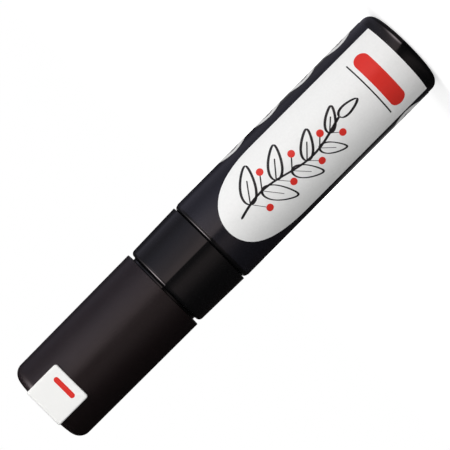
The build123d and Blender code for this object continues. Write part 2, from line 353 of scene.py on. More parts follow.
def sheet_of(name, top, bottom):
    """A closed thin body between two grids of points, its outer face given as top.

    Each row becomes a ring, out over the top and back over the bottom. A first and a last row at half
    thickness close the two ends.
    """
    ends = [(top[[row]] + bottom[[row]]) / 2 for row in (0, -1)]
    top = np.concatenate([ends[0], top, ends[1]])
    bottom = np.concatenate([ends[0], bottom, ends[1]])
    return skin(name, np.concatenate([top, bottom[:, ::-1]], 1))


def flat_rows(height, reach):
    """Rows of a flat shape, each as its middle point and its half width."""
    return np.stack([height * 0, height], -1), np.stack([reach, reach * 0], -1)


def pill(long, wide, height=0.0, steps=13):
    """Rows of a flat pill round a height: a straight band with half circles at its ends.

    Rows lie at wide / 2 * sin a for a from -90 to 90 degrees, and reach half the straight part
    + wide / 2 * cos a.
    """
    swing = np.linspace(-math.pi / 2, math.pi / 2, 2 * steps)
    reach = (long - wide) / 2 + wide / 2 * np.cos(swing)
    return flat_rows(wide / 2 * np.sin(swing) + height, reach)


def spread(middle, half, columns):
    """Flat points middle + share * half, the share running from -1 to 1 across the shape."""
    return middle[:, None] + half[:, None] * np.linspace(-1.0, 1.0, columns)[None, :, None]


def wrapped(name, middle, half, turned_to, layers, columns):
    """A printed shape laid round the sleeve, as a sheet that stands out by its layers of ink.

    A flat point's first coordinate is measured round the sleeve and its second along it, so a flat x
    goes to the angle turned_to + x / radius.
    """
    radius, lift = SLEEVE[1].x, bpy.context.scene.marker_print.ink_lift
    flat = spread(middle, half, columns)
    angle = turned_to + flat[..., 0] / radius
    shell = [
        np.stack([reach * np.sin(angle), -reach * np.cos(angle), flat[..., 1]], -1)
        for reach in (radius + layers * lift, radius - lift)
    ]
    return sheet_of(name, *shell)


def joined(name, meshes):
    """One mesh that holds several loose shells of the same material."""
    together = bmesh.new()
    for mesh in meshes:
        together.from_mesh(mesh)
        bpy.data.meshes.remove(mesh)
    whole = bpy.data.meshes.new(name)
    together.to_mesh(whole)
    together.free()
    return smooth(whole)


def shown(data):
    """A new object in the scene that holds a mesh, a lamp or a camera."""
    holder = bpy.data.objects.new(data.name, data)
    bpy.context.scene.collection.objects.link(holder)
    return holder


def put(mesh, material, body, node=None):
    """Shows a mesh as a piece of the marker that rides on a body and takes the place of a CAD node."""
    piece = shown(mesh)
    mesh.materials.append(material)
    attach(piece, body)
    if node:
        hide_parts(node)
    return piece


def lay(mesh, film):
    """Shows a printed shape of the film, which goes with the barrel."""
    put(mesh, film, "marker_body")


# Lines of the drawn print, each a run of flat points

RUN = np.linspace(0.0, 1.0, 120)


def stem(marks, place):
    """Points of the sprig's stem: a sine of a little over one turn across, an even run along."""
    turns = 1.1
    across = marks.sprig_swing * np.sin(2 * math.pi * turns * place)
    return np.stack([across, marks.sprig_start - marks.sprig_length * place], -1)


def pointing(lean):
    """The direction that leans off the stem by an angle, and the direction across it."""
    return np.array([math.sin(lean), -math.cos(lean)]), np.array([math.cos(lean), math.sin(lean)])


def straight(root, lean, reach):
    """A straight line from a root."""
    return root + RUN[:, None] * reach * pointing(lean)[0]


def leaf(marks, root, lean, size):
    """A leaf's outline: a loop of (1 - cos a) / 2 along it and sin a * (1 + 0.35 cos a) across it."""
    bend = 2 * math.pi * RUN[:, None]
    ahead, beside = pointing(lean)
    along = size * marks.leaf_length * (1 - np.cos(bend)) / 2
    across = size * marks.leaf_width * np.sin(bend) * (1 + 0.35 * np.cos(bend))
    return root + along * ahead + across * beside


def drawn(line, pen, turned_to):
    """A stroke of a broad pen along a flat line, laid round the sleeve.

    It thins from its full width across the pen's edge to a share of that along it, by the sine of the
    angle between. A short part of its run at each end is rounded.
    """
    hold, thin, end = math.radians(40), 0.4, 0.015
    run = unit(np.gradient(line, axis=0))
    held = np.abs(run[:, 0] * math.sin(hold) - run[:, 1] * math.cos(hold))
    ends = 1 - falls_back(1.0, np.minimum(RUN, 1 - RUN) / end)
    width = pen * (thin + (1 - thin) * held) * ends
    half = np.stack([run[:, 1], -run[:, 0]], -1) * width[:, None]
    return wrapped("stroke", line, half, turned_to, layers=2, columns=5)


# Materials

# Moulded and metal finishes: the colour, the roughness, the size and height of the grain in millimetres,
# and what else the shader holds
WAXY = {"IOR": 1.51, "Subsurface Weight": 0.3, "Subsurface Scale": 0.8 * MM}
FINISHES = {
    # From a polished mould: deep black with a clear, slightly soft reflection
    "polypropylene_polished_mould": ("gloss_black", 0.13, 1.2, 0.002, {"IOR": 1.49}),
    # From a mould with a mirror polish: the same black, which keeps the lamp's edge sharp
    "polypropylene_mirror_mould": ("gloss_black", 0.06, 1.5, 0.001, {"IOR": 1.49}),
    # From a spark-eroded mould: satin, its grain of about 0.1 mm drawn at 0.3 mm so that it shows
    "polypropylene_satin_mould": ("satin_black", 0.36, 0.3, 0.006, {"IOR": 1.57}),
    # Uncoloured: milky and waxy, so that light goes a little way into it
    "polyethylene_natural_moulded": ("liner_natural", 0.4, 0.8, 0.004, WAXY),
    # From a fine satin mould: even white that keeps a soft highlight along its edges
    "abs_satin_white": ("badge_white", 0.34, 0.5, 0.003, {"IOR": 1.53}),
    # An even coat on the badge, slightly glossier than its plastic
    "pad_print_ink_red": ("print_red", 0.28, 0.4, 0.002, {"IOR": 1.5}),
    # Bright, with the soft blur that the drawing die leaves
    "stainless_wire_drawn": ("steel_bright", 0.26, 0.15, 0.002, {"Metallic": 1.0}),
    # Ground and lapped: close to a mirror
    "stainless_ball_lapped": ("steel_bright", 0.09, 0.4, 0.0005, {"Metallic": 1.0}),
    # Unpainted and self-lubricating: ivory with a dull gloss
    "acetal_natural_moulded": ("valve_natural", 0.35, 0.6, 0.003, {"IOR": 1.48}),
    # Dark, matt and slightly dusty
    "nitrile_rubber_moulded": ("seal_dark", 0.7, 0.25, 0.01, {"IOR": 1.52}),
}


def add(tree, kind, sockets):
    """Adds one node. Each entry is linked if it is another node's socket, or else set.

    It is set as an input where the node has one of that name or number, and otherwise as a property. A
    colour mix has its two colours in inputs 6 and 7, and its result in output 2.
    """
    node = tree.nodes.new(kind)
    for key, value in sockets.items():
        if isinstance(value, NodeSocket):
            tree.links.new(value, node.inputs[key])
        elif isinstance(key, int) or key in node.inputs:
            node.inputs[key].default_value = value
        else:
            setattr(node, key, value)
    return node


def bare_tree(owner):
    """The emptied node tree of a new material or world."""
    owner.use_nodes = True
    owner.node_tree.nodes.clear()
    return owner.node_tree


def new_material(name):
    """A new material, its emptied tree, and the place on the piece that its patterns follow."""
    material = bpy.data.materials.new(name)
    tree = bare_tree(material)
    return material, tree, add(tree, "ShaderNodeTexCoord", {}).outputs["Object"]


def shaded(colour, level):
    """A colour made lighter or darker."""
    return (*(min(channel * level, 1.0) for channel in colour[:3]), 1.0)


def surfaced(tree, height, relief, shader):
    """Ends a finish's tree with its shader, raised by a height pattern of so many millimetres."""
    bump = add(tree, "ShaderNodeBump", {"Height": height, "Distance": relief * MM})
    face = add(tree, "ShaderNodeBsdfPrincipled", {**shader, "Normal": bump.outputs["Normal"]})
    add(tree, "ShaderNodeOutputMaterial", {"Surface": face.outputs["BSDF"]})


def moulded(name):
    """A moulded or metal finish, with the fine relief of how it was made.

    Noise of the grain's size drives the bump, and patches of about 9 mm shift the roughness by a tenth.
    """
    colour, roughness, grain, relief, shader = FINISHES[name]
    patch_size, shift = 9 * MM, 0.1
    material, tree, place = new_material(name)
    fine = add(tree, "ShaderNodeTexNoise", {"Vector": place, "Scale": 1 / (grain * MM), "Detail": 3.0})
    broad = add(tree, "ShaderNodeTexNoise", {"Vector": place, "Scale": 1 / patch_size, "Detail": 2.0})
    patches = {"Value": broad.outputs["Fac"], "From Min": 0.35, "From Max": 0.65}
    levels = {"To Min": roughness * (1 - shift), "To Max": roughness * (1 + shift)}
    gloss = add(tree, "ShaderNodeMapRange", {**patches, **levels})
    base = getattr(bpy.context.scene.marker_colours, colour)
    surface = {"Base Color": base, "Roughness": gloss.outputs["Result"], **shader}
    surfaced(tree, fine.outputs["Fac"], relief, surface)
    return material


def printed_film(name, colour, roughness):
    """Shrunk polyester film with ink behind it: a clear gloss face with faint waves from the heat.

    Waves of about 7 mm bend reflections a little, and a patchy ink film of about 0.6 mm shifts the
    tone by a hair.
    """
    wave_size, wave_height, ink_size, darker, lighter = 7 * MM, 0.012, 0.6 * MM, 0.96, 1.04
    material, tree, place = new_material(name)
    wave = add(tree, "ShaderNodeTexNoise", {"Vector": place, "Scale": 1 / wave_size, "Detail": 1.0})
    ink = add(tree, "ShaderNodeTexNoise", {"Vector": place, "Scale": 1 / ink_size, "Detail": 2.0})
    tones = {6: shaded(colour, darker), 7: shaded(colour, lighter)}
    cover = add(tree, "ShaderNodeMix", {"data_type": "RGBA", "Factor": ink.outputs["Fac"], **tones})
    surface = {"Base Color": cover.outputs[2], "Roughness": roughness, "IOR": 1.56}
    surfaced(tree, wave.outputs["Fac"], wave_height, surface)
    return material


def pressed_fibre(name, colour):
    """Bonded polyester fibre: matt, with fine threads along the nib.

    The threads are about 0.03 mm thick, drawn here at 0.15 mm so that they show, and some 3 mm long.
    """
    thick, height, long, darker = 0.15 * MM, 0.06, 3 * MM, 0.72
    material, tree, place = new_material(name)
    stretch = {"Vector": place, "Scale": (1.0, 1.0, thick / long)}
    along = add(tree, "ShaderNodeMapping", stretch).outputs["Vector"]
    noise = {"Vector": along, "Scale": 1 / thick, "Detail": 3.0}
    thread = add(tree, "ShaderNodeTexNoise", noise).outputs["Fac"]
    tones = {6: shaded(colour, darker), 7: tuple(colour)}
    tone = add(tree, "ShaderNodeMix", {"data_type": "RGBA", "Factor": thread, **tones})
    surfaced(tree, thread, height, {"Base Color": tone.outputs[2], "Roughness": 0.9})
    return material


# Pieces of the marker


class MARKER_OT_barrel(Operator):
    """Turn the closed-ended barrel from its rounded profile"""

    bl_idname = "marker.barrel"
    bl_label = "Barrel"

    def execute(self, context):
        sizes = context.scene.marker_sizes
        low, high = BARREL
        inner_edge = 0.1 * MM
        profile = rounded(
            [
                (0, low.z, 0),
                (high.x, low.z, sizes.tail_rounding),
                (high.x, high.z, sizes.mouth_rounding),
                (sizes.tank_radius, high.z, inner_edge),
                (sizes.tank_radius, sizes.tank_floor, sizes.tank_rounding),
                (0, sizes.tank_floor, 0),
            ],
            steps=15,
        )
        mesh = lathe("barrel_shell", profile, sizes.around)
        put(mesh, moulded("polypropylene_polished_mould"), "marker_body", "barrel")
        return {"FINISHED"}


class MARKER_OT_sleeve(Operator):
    """Turn the shrunk film sleeve round the barrel"""

    bl_idname = "marker.sleeve"
    bl_label = "Film sleeve"

    def execute(self, context):
        sizes = context.scene.marker_sizes
        low, high = SLEEVE
        gap, edge = 0.02 * MM, 0.03 * MM
        inner = BARREL[1].x + gap
        profile = rounded(
            [(inner, low.z, 0), (high.x, low.z, edge), (high.x, high.z, edge), (inner, high.z, 0)], steps=5
        )
        mesh = lathe("film_sleeve", profile, sizes.around, closed_along=True)
        # Black behind the bare film: it has the clearest gloss of the print
        film = printed_film("polyester_film_black_print", context.scene.marker_colours.film_black, 0.2)
        put(mesh, film, "marker_body", "label_sleeve")

        # The film is a tube welded along its back, where one edge laps over the other as a strip
        height = np.linspace(low.z + edge, high.z - edge, 2)
        strip = flat_rows(height, height * 0 + sizes.seam_width / 2)
        seam = wrapped("film_seam", *strip, turned_to=math.pi, layers=2, columns=9)
        lay(seam, film)
        return {"FINISHED"}


class MARKER_OT_print(Operator):
    """Lay the printed shapes on the film sleeve"""

    bl_idname = "marker.print"
    bl_label = "Print"

    def execute(self, context):
        marks, colours = context.scene.marker_print, context.scene.marker_colours
        front, pen, fine_pen = marks.panel_turn, marks.pen, marks.fine_pen
        # Each ink is an even coat with a softer gloss than the bare film
        white = printed_film("polyester_film_white_print", colours.print_white, 0.3)
        black = printed_film("polyester_film_black_ink", colours.print_black, 0.3)
        red = printed_film("polyester_film_red_print", colours.print_red, 0.3)

        # The panel is as wide all along, and its front end is half an ellipse
        ahead = marks.panel_front - marks.panel_round
        swing = np.linspace(0.0, math.pi / 2, 40)
        even = np.linspace(marks.panel_back, ahead, 24)[:-1]
        height = np.concatenate([even, ahead + marks.panel_round * np.sin(swing)])
        width = np.concatenate([np.ones(len(even)), np.cos(swing)]) * marks.panel_half * SLEEVE[1].x
        panel = wrapped("print_panel", *flat_rows(height, width), front, layers=1, columns=49)
        lay(panel, white)

        # A sprig is drawn along the panel. At each knot of its stem stand a leaf on one side and a berry on
        # the other. Knots are shares of the stem, and each leaf is smaller and leans less than the last
        first_knot, knot_step, shrink = 0.12, 0.125, 0.055
        first_lean, lean_step = math.radians(54), math.radians(2)
        end_leaf, rib_share, stalk_share = 0.62, 0.6, 0.5
        berry, berry_half = pill(2 * marks.berry_radius, 2 * marks.berry_radius)
        tip = leaf(marks, stem(marks, 1.0), 0.0, end_leaf)
        strokes = [drawn(line, pen, front) for line in (stem(marks, RUN), tip)]
        berries = []
        for knot in range(marks.sprig_knots):
            root = stem(marks, first_knot + knot_step * knot)
            size = 1.0 - shrink * knot
            lean = (-1) ** knot * (first_lean - lean_step * knot)
            rib = straight(root, lean, rib_share * size * marks.leaf_length)
            stalk = straight(root, -lean, stalk_share * size * marks.leaf_length)
            strokes.append(drawn(leaf(marks, root, lean, size), pen, front))
            strokes += [drawn(line, fine_pen, front) for line in (rib, stalk)]
            berries.append(wrapped("berry", berry + stalk[-1], berry_half, front, layers=3, columns=17))
        lay(joined("print_sprig", strokes), black)
        lay(joined("print_berries", berries), red)

        # A red band and a thin black rule run round the panel near the tail
        band = pill(marks.band_length, marks.band_width, marks.band_height)
        lay(wrapped("print_band", *band, front, layers=2, columns=25), red)
        rule = pill(marks.band_length, marks.rule_width, marks.rule_height, steps=4)
        lay(wrapped("print_rule", *rule, front, layers=2, columns=25), black)

        # Four pills stand on the +X side and one on the other, and each holds one leaf that lies round the
        # barrel. The leaf's root is this share of the pill's length beside its middle
        root_share, lean = 0.36, math.radians(90)
        pills, leaves = [], []
        for side, place in ((1, 0), (1, 1), (1, 2), (1, 3), (-1, 0)):
            height = marks.pill_first + place * marks.pill_pitch
            around = marks.film_turn + side * marks.pill_turn
            root = np.array([-root_share * marks.pill_length, height])
            rib = straight(root, lean, rib_share * marks.leaf_length)
            shape = pill(marks.pill_length, marks.pill_width, height)
            pills.append(wrapped("pill", *shape, around, layers=1, columns=33))
            leaves.append(drawn(leaf(marks, root, lean, 1.0), pen, around))
            leaves.append(drawn(rib, fine_pen, around))
        lay(joined("print_side_pills", pills), white)
        lay(joined("print_side_leaves", leaves), black)
        return {"FINISHED"}


class MARKER_OT_collar(Operator):
    """Build the front collar with its neck, nose and nib socket"""

    bl_idname = "marker.collar"
    bl_label = "Front collar"

    def execute(self, context):
        sizes = context.scene.marker_sizes
        low, high, rear = COLLAR[0].z, COLLAR[1].z, BARREL[1].z
        bead, middle = sizes.neck_radius + sizes.neck_bead, sizes.neck_bead_middle
        bead_half, bead_flat, bead_foot, bead_edge = 0.8 * MM, 0.3 * MM, 0.6 * MM, 0.3 * MM
        spigot_edge, rear_edge, neck_foot, neck_edge = 0.4 * MM, 0.12 * MM, 0.2 * MM, 0.3 * MM
        nose_foot, nose_bend, nose_edge = 0.25 * MM, 0.8 * MM, 0.4 * MM
        flat_end, lip = 0.6 * MM, 0.25 * MM
        outside = rounded(
            [
                (sizes.valve_bore_radius, low, 0),
                (sizes.spigot_radius, low, spigot_edge),
                (sizes.spigot_radius, rear, 0),
                (COLLAR[1].x, rear, rear_edge),
                (sizes.collar_front_radius, sizes.collar_front, sizes.collar_rounding),
                (sizes.neck_radius, sizes.collar_front, neck_foot),
                (sizes.neck_radius, middle - bead_half, bead_foot),
                (bead, middle - bead_flat, bead_edge),
                (bead, middle + bead_flat, bead_edge),
                (sizes.neck_radius, middle + bead_half, bead_foot),
                (sizes.neck_radius, sizes.neck_front, neck_edge),
                (sizes.nose_radius, sizes.neck_front, nose_foot),
                (sizes.nose_radius, sizes.nose_shoulder, nose_bend),
                (sizes.nose_tip_radius, high, nose_edge),
                (sizes.socket_width / 2 + flat_end, high, 0),
            ],
            steps=11,
        )
        # The socket's mouth rolls in by a quarter circle, then its walls go down to the passage
        roll = np.linspace(0.0, math.pi / 2, 7)
        flare = np.append(lip * (1 - np.sin(roll)), 0.0)[:, None]
        depth = np.append(high - lip * (1 - np.cos(roll)), sizes.socket_floor)
        half_x, half_y = sizes.socket_width / 2 + flare, sizes.socket_depth / 2 + flare
        socket = box_radius(half_x, half_y, sizes.socket_corner + flare, angles(sizes.around))
        passage, bore, end = sizes.passage_radius, sizes.valve_bore_radius, sizes.valve_bore_end
        inside = np.array([(passage, sizes.socket_floor), (passage, end), (bore, end)])
        even = np.ones((1, sizes.around))
        radius = np.concatenate([outside[:, :1] * even, socket, inside[:, :1] * even])
        height = np.concatenate([outside[:, 1], depth, inside[:, 1]])
        mesh = skin("front_collar_shell", turned(radius, height, sizes.around), closed_along=True)
        put(mesh, moulded("polypropylene_mirror_mould"), "marker_body", "front_collar")
        return {"FINISHED"}


def nib_slant(sizes, across):
    """Height of the slanted face: the softened lower of two planes that meet at the ridge.

    That is -soft * log(exp(-front / soft) + exp(-back / soft)), which lies soft * log 2 under the
    ridge. A share of that is added back.
    """
    low, high = NIB
    soft, added_back = 0.18 * MM, 0.6
    front = sizes.nib_front_drop / (sizes.nib_ridge - low.y) * (across - sizes.nib_ridge)
    back = sizes.nib_back_drop / (high.y - sizes.nib_ridge) * (sizes.nib_ridge - across)
    fall = -soft * np.log(np.exp(-front / soft) + np.exp(-back / soft))
    return high.z + soft * math.log(2) * added_back + fall


class MARKER_OT_nib(Operator):
    """Build the chisel nib with its slanted writing edge"""

    bl_idname = "marker.nib"
    bl_label = "Nib"

    def execute(self, context):
        sizes = context.scene.marker_sizes
        low, high = NIB
        angle = angles(sizes.around)
        outline = box_radius(high.x, high.y, sizes.nib_corner, angle)[None]

        # The side goes straight up from a bevel, turns over in a quarter circle of the edge's size and runs
        # in to the middle
        bevel, edge = 0.3 * MM, 0.35 * MM
        roll = np.linspace(0.0, math.pi / 2, 7)[:, None]
        inward = np.linspace(0.5, 2.0, 12)[:, None] * MM
        inset = np.concatenate([edge * (1 - np.cos(roll)), inward])
        drop = np.concatenate([edge * (1 - np.sin(roll)), inward * 0, [[0.0]]])
        rim = outline * np.concatenate([1 - inset / outline.min(), [[0.0]]])
        level = nib_slant(sizes, rim * np.sin(angle)) - drop
        foot = np.full((1, sizes.around), low.z)
        radius = np.concatenate([outline * 0, outline - bevel, outline, rim])
        height = np.concatenate([foot, foot, foot + bevel, level])
        points = np.stack([radius * np.cos(angle), radius * np.sin(angle), height], -1)
        fibre = pressed_fibre("polyester_fibre_pressed", context.scene.marker_colours.fibre_white)
        put(skin("chisel_nib", points), fibre, "nib_unit", "nib")
        return {"FINISHED"}


class MARKER_OT_cap(Operator):
    """Turn the cap with its inner ribs, and the liner that seals the nib"""

    bl_idname = "marker.cap"
    bl_label = "Cap and liner"

    def execute(self, context):
        sizes = context.scene.marker_sizes
        low, end, room = CAP[0].z, CAP[1].z - sizes.cap_step, sizes.cap_room
        seat_edge, bore_edge, rim_edge, rib_slope = 0.2 * MM, 0.25 * MM, 0.2 * MM, 0.15 * MM
        inside = np.array([(0, sizes.cap_floor), (room, sizes.cap_floor), (room, LINER[0].z)])
        outside = rounded(
            [
                (room, sizes.neck_front, 0),
                (sizes.cap_bore, sizes.neck_front, seat_edge),
                (sizes.cap_bore, low, bore_edge),
                (CAP[1].x, low, rim_edge),
                (sizes.cap_end_radius, end, sizes.cap_rounding),
                (0, end, 0),
            ],
            steps=15,
        )
        # A rib stands out of the inner wall where the nearest of its even angles is under half a rib away
        pitch = 2 * math.pi / sizes.cap_ribs
        away = np.abs((angles(sizes.around) + pitch / 2) % pitch - pitch / 2) * room
        rib = sizes.cap_rib * np.clip((sizes.cap_rib_width / 2 - away) / rib_slope + 0.5, 0, 1)
        wall = inside[:, :1] - rib * [[0], [1], [1]]
        radius = np.concatenate([wall, outside[:, :1] * np.ones((1, sizes.around))])
        height = np.concatenate([inside[:, 1], outside[:, 1]])
        mesh = skin("cap_shell", turned(radius, height, sizes.around))
        put(mesh, moulded("polypropylene_satin_mould"), "cap_unit", "cap")

        low, high = LINER
        profile = rounded(
            [
                (0, sizes.liner_floor, 0),
                (sizes.liner_bore, sizes.liner_floor, sizes.liner_rounding),
                (sizes.liner_bore, low.z, rim_edge),
                (high.x, low.z, rim_edge),
                (high.x, high.z, sizes.liner_rounding),
                (0, high.z, 0),
            ]
        )
        mesh = lathe("liner_cup", profile, sizes.around)
        put(mesh, moulded("polyethylene_natural_moulded"), "cap_unit", "inner_cap")
        return {"FINISHED"}


class MARKER_OT_badge(Operator):
    """Bend the white badge over the cap's end"""

    bl_idname = "marker.badge"
    bl_label = "Badge"

    def execute(self, context):
        sizes, marks = context.scene.marker_sizes, context.scene.marker_print
        low, high = BADGE
        half, edge, corner, fold = high.x, sizes.badge_edge, sizes.badge_corner, sizes.badge_fold

        # The strip goes up the front leg, over the end and down the back leg, with a round fold at each
        # turn. Its rows lie close in the corners and at the folds
        path = rounded([(low.y, low.z, 0), (low.y, high.z, fold), (high.y, high.z, fold), (high.y, low.z, 0)])
        travel = np.append(0.0, np.cumsum(np.linalg.norm(np.diff(path, axis=0), axis=1)))
        whole, past_corner = travel[-1], corner + 0.3 * MM
        start = corner * (1 - np.cos(np.linspace(0.0, math.pi / 2, 12)))
        inner = travel[(travel > corner + edge) & (travel < whole - corner - edge)]
        along = np.concatenate([start, [past_corner], inner, [whole - past_corner], whole - start[::-1]])
        line = np.stack([np.interp(along, travel, side) for side in path.T], -1)
        slope = np.gradient(path, travel, axis=0)
        heading = unit(np.stack([np.interp(along, travel, side) for side in slope.T], -1))
        outward = np.stack([-heading[:, 1], heading[:, 0]], -1)

        # Near its ends the strip narrows along the corners' circles
        near = np.minimum(along, whole - along)
        wide = half - falls_back(corner, near)
        roll = np.linspace(0.0, math.pi / 2, 9)
        inset = np.concatenate([edge * (1 - np.cos(roll)), [1.0 * MM, 3.0 * MM]])
        reach = wide[:, None] - inset
        across = np.concatenate([-reach, reach[:, ::-1]], 1)

        # The face drops by a quarter circle of the edge's size towards the rounded outline
        ahead = np.broadcast_to((corner - near)[:, None], across.shape)
        gap = np.stack([np.abs(across) - (half - corner), ahead])
        outer = np.hypot(*np.maximum(gap, 0)) + np.minimum(gap.max(0), 0)
        drop = falls_back(edge, corner - outer)
        face = line[:, None] - outward[:, None] * drop[..., None]
        top = np.stack([across, face[..., 0], face[..., 1]], -1)
        under_y = np.clip(line[:, 0], low.y + sizes.badge_leg, high.y - sizes.badge_leg)
        under_z = np.minimum(line[:, 1], high.z - sizes.badge_bar)
        under = np.stack([across, under_y[:, None] + 0 * across, under_z[:, None] + 0 * across], -1)
        strip = sheet_of("cap_badge_strip", top, under)
        put(strip, moulded("abs_satin_white"), "cap_unit", "cap_badge")

        # A plain red bar is printed flat on the front leg
        shape = pill(marks.badge_bar_length, marks.badge_bar_width, marks.badge_bar_height)
        flat = spread(*shape, columns=9)
        shell = [
            np.stack([flat[..., 0], np.full(flat.shape[:2], depth), flat[..., 1]], -1)
            for depth in (low.y - marks.ink_lift, low.y + marks.ink_lift)
        ]
        bar = sheet_of("badge_red_bar", *shell)
        put(bar, moulded("pad_print_ink_red"), "cap_unit")
        return {"FINISHED"}


class MARKER_OT_spring(Operator):
    """Coil the valve spring, which shortens as the nib is pressed"""

    bl_idname = "marker.spring"
    bl_label = "Valve spring"

    def execute(self, context):
        sizes = context.scene.marker_sizes
        low, high = SPRING
        wire, reach = sizes.spring_wire, high.x - sizes.spring_wire
        whole_turn = 2 * math.pi * sizes.spring_turns
        rows_a_turn, wire_sides = 40, 14
        # The wire's middle is (reach cos angle, reach sin angle, rising evenly), and its ends are half balls
        ends = np.linspace(0.0, 1.0, 7)[:-1] ** 2 * wire / (whole_turn * reach)
        even = np.linspace(ends[-1] * 2, 1 - ends[-1] * 2, rows_a_turn * sizes.spring_turns)
        run = np.concatenate([ends, even, 1 - ends[::-1]])
        angle = whole_turn * run
        outward = np.stack([np.cos(angle), np.sin(angle), angle * 0], -1)
        middle = reach * outward
        middle[:, 2] = low.z + wire + (high.z - low.z - 2 * wire) * run
        upward = np.cross(outward, unit(np.gradient(middle, angle, axis=0)))
        near = np.minimum(run, 1 - run) * whole_turn * reach
        thick = (wire - falls_back(wire, near))[:, None, None]
        section = angles(wire_sides)[None, :, None]
        ring = outward[:, None] * np.cos(section) + upward[:, None] * np.sin(section)
        mesh = skin("valve_coil", middle[:, None] + thick * ring)
        coil = put(mesh, moulded("stainless_wire_drawn"), "marker_body", "valve_spring")
        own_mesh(coil)
        return {"FINISHED"}


class MARKER_OT_valve(Operator):
    """Give the valve and the mixing balls their finishes"""

    bl_idname = "marker.valve"
    bl_label = "Valve and balls"

    def execute(self, context):
        finishes = {
            "acetal_natural_moulded": ("valve_stem", "valve_housing", "spring_retainer"),
            "nitrile_rubber_moulded": ("valve_seat",),
            "stainless_ball_lapped": ("mixing_ball_1", "mixing_ball_2"),
        }
        for finish, names in finishes.items():
            material = moulded(finish)
            for name in names:
                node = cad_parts[name]
                node.data.materials.clear()
                node.data.materials.append(material)
        return {"FINISHED"}


# Light of the tent's wall: angles from the lens towards +X in degrees, and how bright the wall is there. A
# dim card stands on one side of the lens, and on the other a softbox that fades round to the back
DIM_CARD = [(-75, 0.012), (-55, 0.05), (-48, 0.1), (-38, 0.17), (-28, 0.23), (-19, 0.24), (-9, 0.12)]
SOFTBOX = [(-3, 0.04), (5.2, 0.04), (6.4, 0.79), (10, 0.79), (19, 0.73), (28, 0.59), (48, 0.5), (58, 0.42)]
FADE = [(69, 0.35), (80, 0.26), (93, 0.18), (107, 0.205), (125, 0.25), (133, 0.13), (140, 0.05), (160, 0.012)]

# How the wall's light fades up the dome: the rise in degrees, and the share that is left there
RISE_FADE = [(9, 1.0), (18, 0.5), (90, 0.2)]

# Patches of light: the middle and the width in degrees, round from the lens and up the dome, and the red,
# green and blue of each. The strip sinks to its sides by the angle squared times its sink
FOOT_ROUND, FOOT_LIGHT = (18, 13), (1.1, 0.96, 1.0)
BEHIND_ROUND, BEHIND_LIGHT = (180, 26), (1.0, 1.0, 1.0)
STRIP_ROUND, STRIP_RISE, STRIP_SINK, STRIP_LIGHT = (46, 36), (65, 13), 0.0019, (11.55, 10.185, 10.5)
ABOVE_ROUND, ABOVE_RISE, ABOVE_LIGHT = (48, 25), (17, 5), (1.2096, 1.0864, 1.1088)

# Rings of the tent's ground sheet: the radius in millimetres, then the shares of the wall's light, of the
# patch at the marker's foot and of the patch behind it
GROUND = [
    (9.5, 0.1, 0.0, 0.0),
    (11.5, 0.1, 0.0, 0.0),
    (11.9, 0.4, 5.2, 0.0),
    (12.2, 0.5, 5.0, 0.0),
    (12.8, 0.5, 1.9, 0.0),
    (13.8, 0.6, 0.4, 0.0),
    (17, 0.8, 0.16, 0.0),
    (40, 0.8, 0.12, 0.6),
    (400, 0.8, 0.0, 0.6),
    (600, 1.0, 0.0, 0.0),
    (750, 1.0, 0.0, 0.0),
]

# Soft lamps: the angle from -Y towards +X in degrees, then the height and the width in metres
LAMPS = {
    "key_softbox": (42, 0.45, 0.4),
    "front_softbox": (25, 0.10, 0.5),
    "back_softbox": (190, 0.35, 0.5),
}


def seen(tree):
    """1 for a ray from the camera, off gloss or through glass, and 0 for light on matt surfaces."""
    ray = add(tree, "ShaderNodeLightPath", {}).outputs
    first = add(tree, "ShaderNodeMath", {0: ray["Is Camera Ray"], 1: ray["Is Glossy Ray"]}).outputs[0]
    both = {0: first, 1: ray["Is Transmission Ray"], "use_clamp": True}
    return add(tree, "ShaderNodeMath", both).outputs[0]


def set_room(context):
    """A world that is white where it is seen, and dimmer as light on matt surfaces."""
    world = bpy.data.worlds.new("white_room")
    tree = bare_tree(world)
    dim = context.scene.marker_studio.ambient
    steps = {"operation": "MULTIPLY_ADD", 0: seen(tree), 1: 1 - dim, 2: dim}
    level = add(tree, "ShaderNodeMath", steps).outputs[0]
    room = add(tree, "ShaderNodeBackground", {"Color": (1, 1, 1, 1), "Strength": level})
    add(tree, "ShaderNodeOutputWorld", {"Surface": room.outputs[0]})
    context.scene.world = world


def floor_mesh(context):
    """A round pale floor that reads white to the camera and darkens in the marker's shadow.

    Where it is seen it glows by itself, from a share near the marker to full white far out.
    """
    size, near, far, glow_near = 2.5, 60 * MM, 600 * MM, 0.57
    material, tree, place = new_material("paper_floor_pale")
    away = add(tree, "ShaderNodeVectorMath", {"operation": "LENGTH", 0: place}).outputs["Value"]
    reach = {"Value": away, "From Min": near, "From Max": far}
    white = add(tree, "ShaderNodeMapRange", {**reach, "To Min": glow_near, "To Max": 1.0})
    steps = {"operation": "MULTIPLY", 0: seen(tree), 1: white.outputs["Result"]}
    glow = add(tree, "ShaderNodeEmission", {"Strength": add(tree, "ShaderNodeMath", steps).outputs[0]})
    paper = add(tree, "ShaderNodeBsdfDiffuse", {"Color": context.scene.marker_colours.floor_pale})
    both = add(tree, "ShaderNodeAddShader", {0: glow.outputs[0], 1: paper.outputs[0]})
    add(tree, "ShaderNodeOutputMaterial", {"Surface": both.outputs[0]})
    mesh = lathe("floor", np.array([(size, 0.0), (0.0, 0.0)]), 96)
    mesh.materials.append(material)
    return mesh


